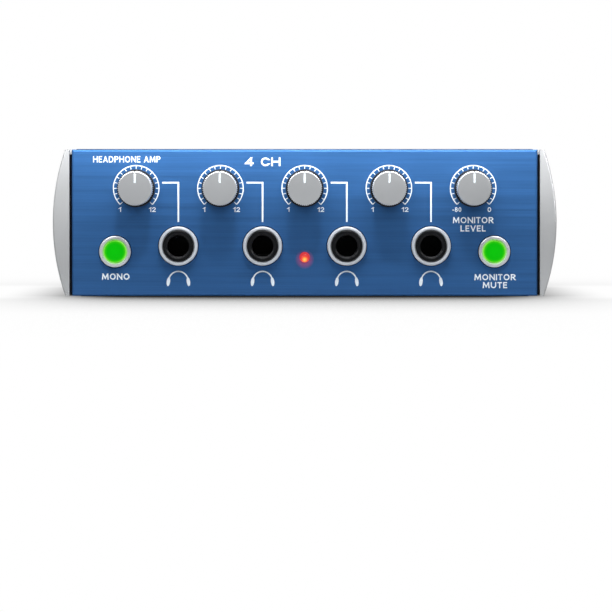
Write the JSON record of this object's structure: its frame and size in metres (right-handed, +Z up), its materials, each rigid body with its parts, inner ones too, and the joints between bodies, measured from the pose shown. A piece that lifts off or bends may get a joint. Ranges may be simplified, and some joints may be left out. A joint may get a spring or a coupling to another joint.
{
  "type": "headphone amplifier",
  "caption": "Compact desktop headphone amplifier: brushed blue front with level knobs and headphone jacks, bowed silver side cheeks, black rear with line jacks and a power inlet.",
  "frame": {"origin": "centre of the chassis's footprint, on the plane it stands on: half way between the front panel's face and the rear wall's face", "axes": "+X to the right seen from the front, the front panel faces -Y, +Z up"},
  "size_m": [0.152, 0.158, 0.0444],
  "materials": {
    "black_steel": "satin powder coat",
    "blue_panel": "brushed and anodised blue",
    "silver_casting": "satin silver",
    "plated_steel": "zinc plated",
    "black_screw": "black oxide",
    "nickel_nut": "satin nickel",
    "bezel_silver": "polished",
    "jack_black": "moulded",
    "inlet_black": "moulded",
    "contact_metal": "nickel plated",
    "knob_silver": "satin, fluted side",
    "knob_black": "moulded",
    "shaft_steel": "turned",
    "pot_case": "moulded",
    "green_lens": "lit, translucent",
    "red_lens": "lit, translucent",
    "switch_black": "moulded",
    "circuit_board": "solder mask",
    "standoff_brass": "turned",
    "sink_black": "anodised black",
    "chip_black": "moulded epoxy",
    "capacitor_sleeve": "shrink sleeve",
    "relay_case": "moulded",
    "ribbon_grey": "flat cable"
  },
  "bodies": {
    "housing": {"base_tray": "black_steel", "top_cover": "black_steel", "front_panel": "blue_panel", "left_cheek": "silver_casting", "right_cheek": "silver_casting", "front_frame": "plated_steel", "rear_jack_bracket": "plated_steel", "cheek_screws": "plated_steel", "board_screws": "plated_steel", "cover_screws": "plated_steel", "base_screws": "black_screw", "rear_jack_screws": "black_screw", "phones_jack_nuts": "nickel_nut", "button_bezels": "bezel_silver", "phones_jack_1": "jack_black", "phones_jack_2": "jack_black", "phones_jack_3": "jack_black", "phones_jack_4": "jack_black", "output_jack_right": "jack_black", "output_jack_left": "jack_black", "input_jack_right": "jack_black", "input_jack_left": "jack_black", "dc_inlet": "inlet_black", "phones_jack_contacts": "contact_metal", "line_jack_contacts": "contact_metal", "dc_inlet_contacts": "contact_metal", "level_1_pot": "pot_case", "level_2_pot": "pot_case", "level_3_pot": "pot_case", "level_4_pot": "pot_case", "monitor_pot": "pot_case", "power_led": "red_lens", "push_switches": "switch_black", "ribbon_headers": "switch_black", "main_board": "circuit_board", "control_board": "circuit_board", "board_standoffs": "standoff_brass", "heat_sink": "sink_black", "voltage_regulators": "chip_black", "amplifier_chips": "chip_black", "filter_capacitors": "capacitor_sleeve", "mute_relays": "relay_case", "ribbon_cable": "ribbon_grey"},
    "level_1_knob": {"level_1_knob": "knob_black", "level_1_knob_cap": "knob_silver", "level_1_shaft": "shaft_steel"},
    "level_2_knob": {"level_2_knob": "knob_black", "level_2_knob_cap": "knob_silver", "level_2_shaft": "shaft_steel"},
    "level_3_knob": {"level_3_knob": "knob_black", "level_3_knob_cap": "knob_silver", "level_3_shaft": "shaft_steel"},
    "level_4_knob": {"level_4_knob": "knob_black", "level_4_knob_cap": "knob_silver", "level_4_shaft": "shaft_steel"},
    "monitor_knob": {"monitor_knob": "knob_black", "monitor_knob_cap": "knob_silver", "monitor_shaft": "shaft_steel"},
    "mono_button": {"mono_button": "green_lens"},
    "mute_button": {"mute_button": "green_lens"}
  },
  "joints": [
    {"name": "level_1_turn", "type": "hinge", "parent": "housing", "child": "level_1_knob", "pos_m": [-0.0508, -0.07, 0.0326], "axis": [0, 1, 0], "range_deg": [-135, 135]},
    {"name": "level_2_turn", "type": "hinge", "parent": "housing", "child": "level_2_knob", "pos_m": [-0.0254, -0.07, 0.0326], "axis": [0, 1, 0], "range_deg": [-135, 135]},
    {"name": "level_3_turn", "type": "hinge", "parent": "housing", "child": "level_3_knob", "pos_m": [0, -0.07, 0.0326], "axis": [0, 1, 0], "range_deg": [-135, 135]},
    {"name": "level_4_turn", "type": "hinge", "parent": "housing", "child": "level_4_knob", "pos_m": [0.0254, -0.07, 0.0326], "axis": [0, 1, 0], "range_deg": [-135, 135]},
    {"name": "monitor_turn", "type": "hinge", "parent": "housing", "child": "monitor_knob", "pos_m": [0.0508, -0.07, 0.0326], "axis": [0, 1, 0], "range_deg": [-135, 135]},
    {"name": "mono_press", "type": "slide", "parent": "housing", "child": "mono_button", "axis": [0, 1, 0], "range_m": [0, 0.0025], "stiffness_N_per_m": 400, "springref_m": -0.0025},
    {"name": "mute_press", "type": "slide", "parent": "housing", "child": "mute_button", "axis": [0, 1, 0], "range_m": [0, 0.0025], "stiffness_N_per_m": 400, "springref_m": -0.0025}
  ]
}
